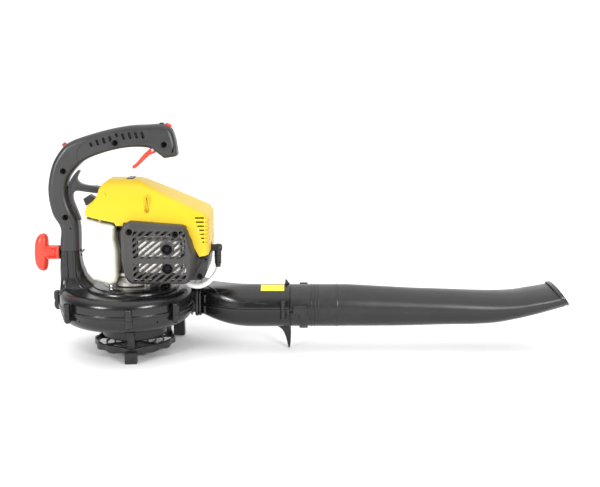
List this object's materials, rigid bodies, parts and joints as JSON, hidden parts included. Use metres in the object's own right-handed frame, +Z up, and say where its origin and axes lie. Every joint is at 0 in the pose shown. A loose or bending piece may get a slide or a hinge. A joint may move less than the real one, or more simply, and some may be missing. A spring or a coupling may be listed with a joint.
{
  "type": "handheld leaf blower",
  "caption": "Handheld petrol leaf blower with loop handle, flat fan housing, small two-stroke engine under a top cover, and a long tube with a flattened up-turned nozzle.",
  "frame": {"origin": "on the vertical fan axis, at floor level", "axes": "+X along the blower tube towards the nozzle, +Z up, +Y to the side away from the muffler"},
  "size_m": [0.939, 0.27, 0.4046],
  "materials": {
    "black_gloss": "smooth moulded nylon, fairly glossy",
    "black_satin": "satin moulded plastic",
    "grille_grey": "satin heat resistant plastic",
    "handle_grey": "fine grained plastic",
    "cover_yellow": "bright yellow, semi gloss",
    "red_plastic": "bright red, semi gloss",
    "tank_white": "translucent blow moulded polythene",
    "nylon": "glass filled nylon",
    "cast_alloy": "cast and shot blasted",
    "steel": "machined",
    "zinc_steel": "zinc plated",
    "black_steel": "blackened",
    "muffler_steel": "pressed sheet, slightly heat tinted",
    "boot_rubber": "matt moulded rubber",
    "lead_white": "white sleeve",
    "plug_ceramic": "glazed ceramic and steel",
    "coil_black": "resin on steel laminations",
    "rope_white": "braided nylon",
    "filter_foam": "open cell foam",
    "bulb_clear": "clear soft plastic",
    "fuel_hose": "amber hose"
  },
  "bodies": {
    "root": {"fan_housing_upper": "black_gloss", "fan_housing_lower": "black_gloss", "rear_feet": "black_satin", "housing_screws": "zinc_steel", "inlet_guard": "black_satin", "duct_upper": "black_gloss", "duct_lower": "black_gloss", "crankcase": "cast_alloy", "engine_bolts": "zinc_steel", "main_bearings": "steel", "cylinder": "cast_alloy", "spark_plug": "plug_ceramic", "plug_boot": "boot_rubber", "ht_lead": "lead_white", "ignition_coil": "coil_black", "starter_housing": "black_satin", "recoil_spring": "steel", "starter_rope": "rope_white", "rope_guide": "black_satin", "muffler": "muffler_steel", "muffler_gasket": "muffler_steel", "muffler_bolts": "black_steel", "muffler_cover": "grille_grey", "intake_spacer": "black_satin", "carburettor": "cast_alloy", "air_filter_box": "black_satin", "air_filter": "filter_foam", "fuel_tank": "tank_white", "fuel_line": "fuel_hose", "top_cover": "cover_yellow", "engine_cowl": "black_satin", "cover_screws": "black_steel", "handle_left": "handle_grey", "handle_right": "handle_grey", "handle_screws": "black_steel", "support_bracket": "black_satin", "trigger_pin": "steel", "trigger_spring": "steel", "throttle_cable": "boot_rubber"},
    "crank": {"crankshaft": "steel", "flywheel": "cast_alloy", "impeller": "nylon", "shaft_nuts": "steel"},
    "piston_group": {"piston": "cast_alloy", "gudgeon_pin": "steel", "connecting_rod": "steel", "crank_pin": "steel"},
    "pulley": {"starter_pulley": "nylon"},
    "grip": {"starter_grip": "red_plastic"},
    "trigger": {"throttle_trigger": "red_plastic"},
    "carb_arm": {"throttle_arm": "zinc_steel"},
    "lock_lever": {"throttle_lock": "red_plastic"},
    "switch": {"stop_switch": "red_plastic"},
    "choke": {"choke_knob": "black_satin"},
    "primer": {"primer_bulb": "bulb_clear"},
    "cap": {"fuel_cap": "red_plastic"},
    "tube": {"blower_tube": "black_gloss", "nozzle": "black_gloss"}
  },
  "joints": [
    {"name": "crankshaft_spin", "type": "hinge", "parent": "root", "child": "crank", "pos_m": [0, 0, 0.187], "axis": [0, 0, 1], "continuous": true},
    {"name": "piston_stroke", "type": "slide", "parent": "root", "child": "piston_group", "axis": [1, 0, 0], "range_m": [-0.032, 0]},
    {"name": "starter_pull", "type": "slide", "parent": "root", "child": "grip", "axis": [-1, 0, 0], "range_m": [0, 0.7], "stiffness_N_per_m": 25, "springref_m": -0.5},
    {"name": "pulley_spin", "type": "hinge", "parent": "root", "child": "pulley", "pos_m": [0, 0, 0.234], "axis": [0, 0, 1], "range_deg": [0, 1606]},
    {"name": "throttle_trigger_pull", "type": "hinge", "parent": "root", "child": "trigger", "pos_m": [0.043, 0, 0.359], "axis": [0, 1, 0], "range_deg": [0, 28], "stiffness_Nm_per_rad": 0.15, "springref_deg": -28.65},
    {"name": "throttle_arm_turn", "type": "hinge", "parent": "root", "child": "carb_arm", "pos_m": [0.058, 0.019, 0.252], "axis": [0, 1, 0], "range_deg": [-70, 0]},
    {"name": "throttle_lock_turn", "type": "hinge", "parent": "root", "child": "lock_lever", "pos_m": [-0.104, 0.018, 0.352], "axis": [0, 1, 0], "range_deg": [0, 60]},
    {"name": "stop_switch_slide", "type": "slide", "parent": "root", "child": "switch", "axis": [0.9136, 0, -0.4067], "range_m": [0, 0.004]},
    {"name": "choke_pull", "type": "slide", "parent": "root", "child": "choke", "axis": [-1, 0, 0], "range_m": [0, 0.012]},
    {"name": "primer_press", "type": "slide", "parent": "root", "child": "primer", "axis": [0, -1, 0], "range_m": [0, 0.005], "stiffness_N_per_m": 800},
    {"name": "fuel_cap_turn", "type": "hinge", "parent": "root", "child": "cap", "pos_m": [-0.056, 0, 0.17], "axis": [0, 1, 0], "range_deg": [0, 450]},
    {"name": "tube_twist", "type": "hinge", "parent": "root", "child": "tube", "pos_m": [0.3, 0.015, 0.079], "axis": [1, 0, 0], "range_deg": [0, 50]}
  ],
  "couplings": [
    {"joint": "pulley_spin", "follows": "starter_pull", "rad_per_m": 40},
    {"joint": "throttle_arm_turn", "follows": "throttle_trigger_pull", "ratio": -2.5}
  ]
}
